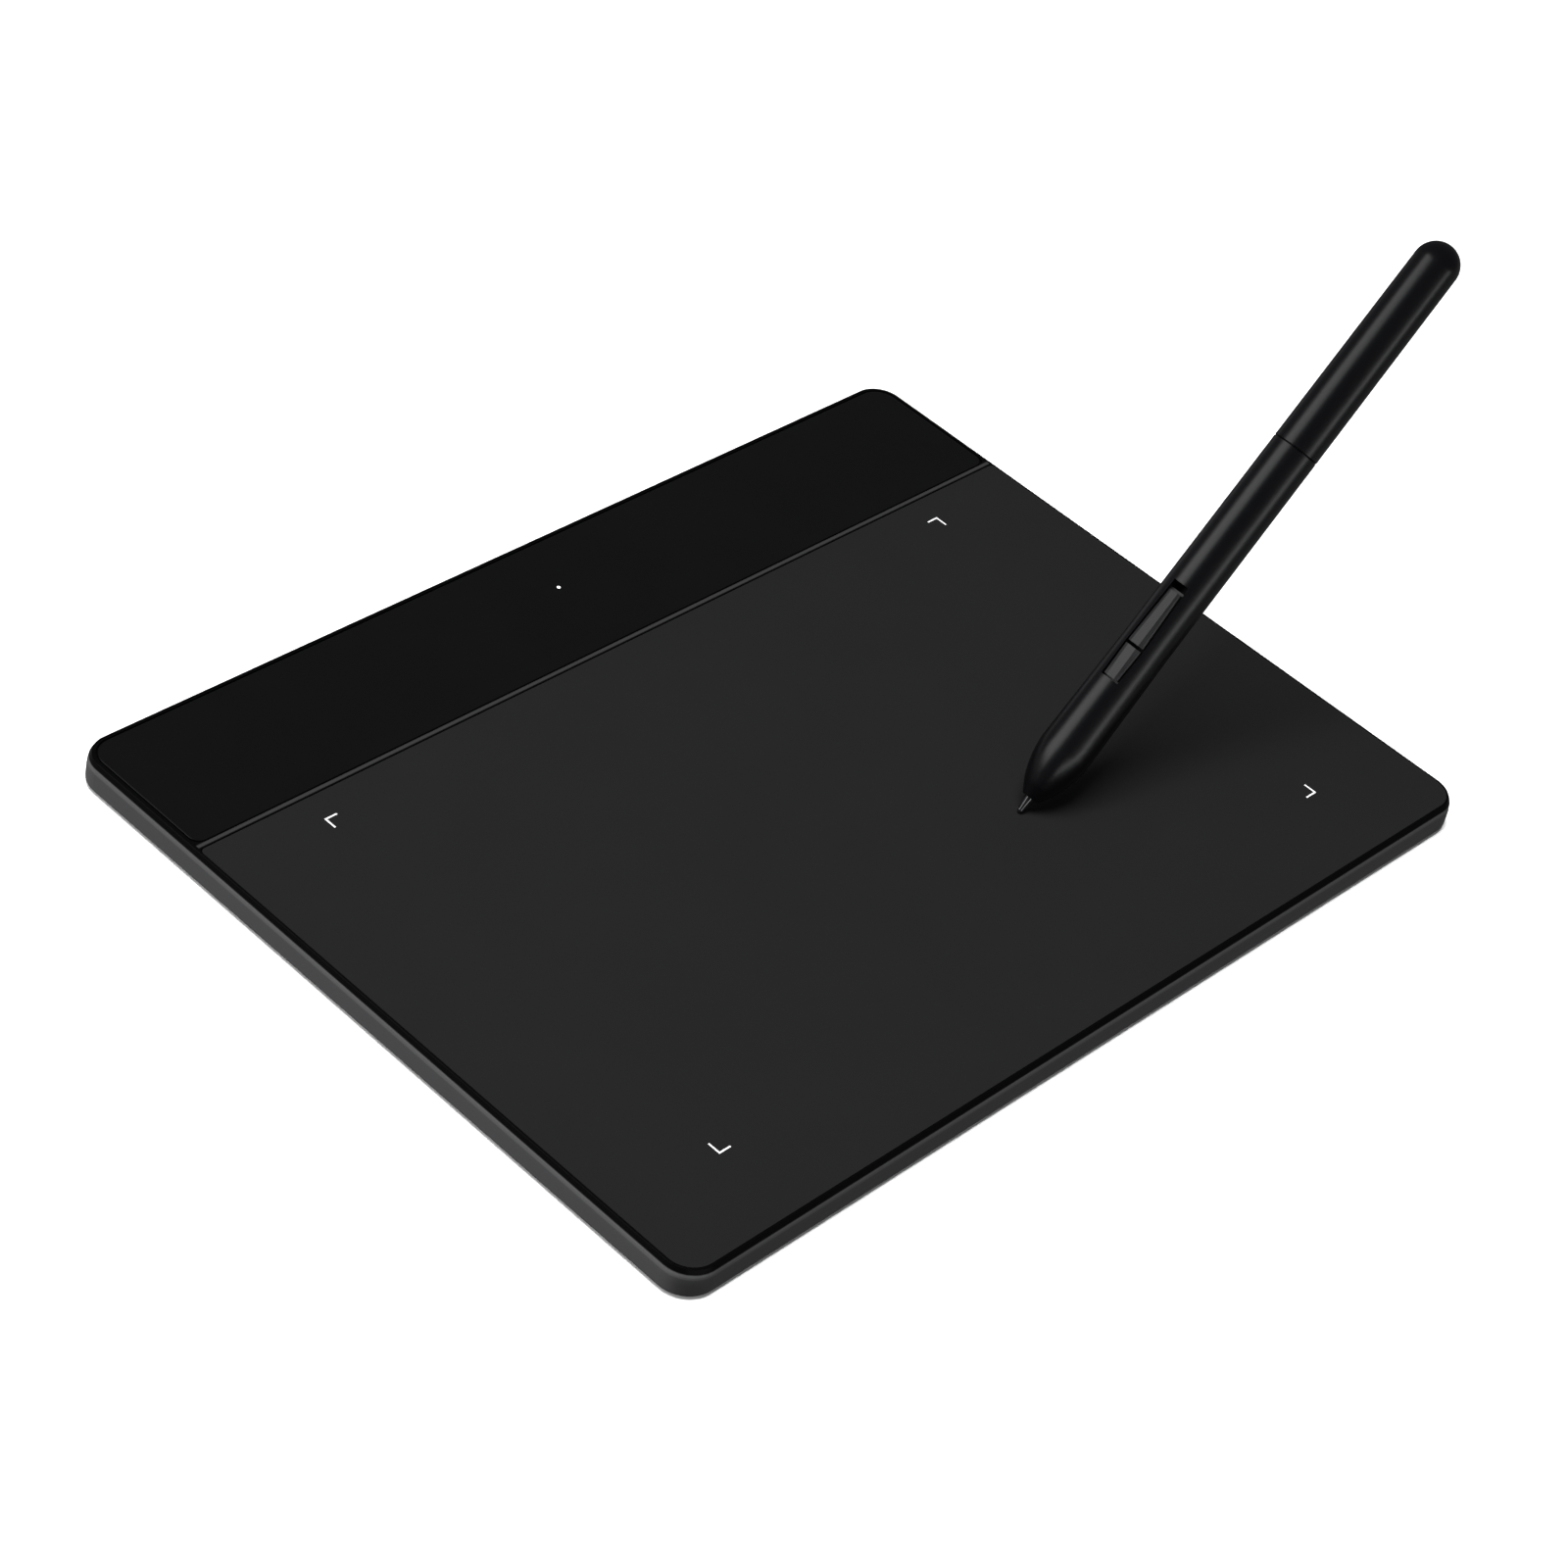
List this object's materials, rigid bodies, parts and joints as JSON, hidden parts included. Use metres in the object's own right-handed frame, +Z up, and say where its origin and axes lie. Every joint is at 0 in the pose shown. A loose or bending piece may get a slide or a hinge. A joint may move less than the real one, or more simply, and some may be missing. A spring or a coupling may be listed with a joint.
{
  "type": "pen drawing tablet",
  "caption": "Flat drawing tablet with a matte sensing surface, a glossier rear panel and a sprung-nib pen with a two-key rocker.",
  "frame": {"origin": "centre of the tablet housing's footprint on the plane the feet rest on", "axes": "+X right across the tablet, +Y from the user towards the rear panel, +Z up from the drawing surface"},
  "size_m": [0.2171, 0.1554, 0.1045],
  "materials": {
    "housing_plastic": "fine satin moulded plastic, dark grey",
    "surface_film": "matte fine-textured drawing film, near black",
    "panel_plastic": "smooth satin black",
    "cover_plastic": "lightly textured black",
    "foot_rubber": "matte black rubber",
    "tape": "double-sided tape",
    "clear_plastic": "clear polished",
    "steel": "plain drawn steel",
    "shield_metal": "dull foil",
    "foam": "dark foam",
    "circuit_board": "green solder mask",
    "black_plastic": "black moulded plastic",
    "gold_contact": "gold plated",
    "ceramic": "tan ceramic",
    "led_white": "white light package",
    "flat_cable": "pale flat cable",
    "socket_plastic": "ivory moulded plastic",
    "pen_plastic": "soft satin black",
    "button_plastic": "matte mid grey",
    "nib_plastic": "polished black acetal",
    "ferrite": "sintered dark grey",
    "mark_print": "thin white print",
    "copper": "wound enamelled copper"
  },
  "bodies": {
    "tablet": {"top_housing": "housing_plastic", "bottom_cover": "cover_plastic", "foot_front_left": "foot_rubber", "foot_front_right": "foot_rubber", "foot_rear_left": "foot_rubber", "foot_rear_right": "foot_rubber", "drawing_surface": "surface_film", "surface_adhesive": "tape", "accent_panel": "panel_plastic", "panel_adhesive": "tape", "light_guide": "clear_plastic", "cover_screws": "steel", "sensor_board": "circuit_board", "shield_sheet": "shield_metal", "foam_pad": "foam", "stiffener_plate": "steel", "main_board": "circuit_board", "usb_shell": "steel", "usb_tongue": "black_plastic", "usb_contacts": "gold_contact", "controller_chip": "black_plastic", "antenna_switch_chips": "black_plastic", "clock_crystal": "steel", "board_capacitors": "ceramic", "power_led": "led_white", "board_screws": "steel", "sensor_cable": "flat_cable", "sensor_socket": "socket_plastic"},
    "pen": {"front_barrel": "pen_plastic", "rear_barrel": "pen_plastic", "coupling_sleeve": "black_plastic", "ferrite_core": "ferrite", "coil": "copper", "pressure_pad": "foot_rubber", "pressure_sensor": "black_plastic", "inner_frame": "black_plastic", "pen_board": "circuit_board", "short_button_switch": "steel", "long_button_switch": "steel", "pen_capacitors": "ceramic"},
    "nib": {"nib": "nib_plastic", "nib_holder": "socket_plastic"},
    "short_button": {"short_button": "button_plastic"},
    "long_button": {"long_button": "button_plastic"}
  },
  "joints": [
    {"name": "pen_lift", "type": "slide", "parent": "tablet", "child": "pen", "axis": [0, 0, 1], "range_m": [0, 0.12]},
    {"name": "nib_press", "type": "slide", "parent": "pen", "child": "nib", "axis": [0.6597, -0.0196, 0.7513], "range_m": [0, 0.0004], "stiffness_N_per_m": 1500},
    {"name": "short_button_press", "type": "slide", "parent": "pen", "child": "short_button", "axis": [0.7514, 0.0353, -0.6589], "range_m": [0, 0.00025], "stiffness_N_per_m": 4000},
    {"name": "long_button_press", "type": "slide", "parent": "pen", "child": "long_button", "axis": [0.7514, 0.0353, -0.6589], "range_m": [0, 0.00025], "stiffness_N_per_m": 4000}
  ]
}
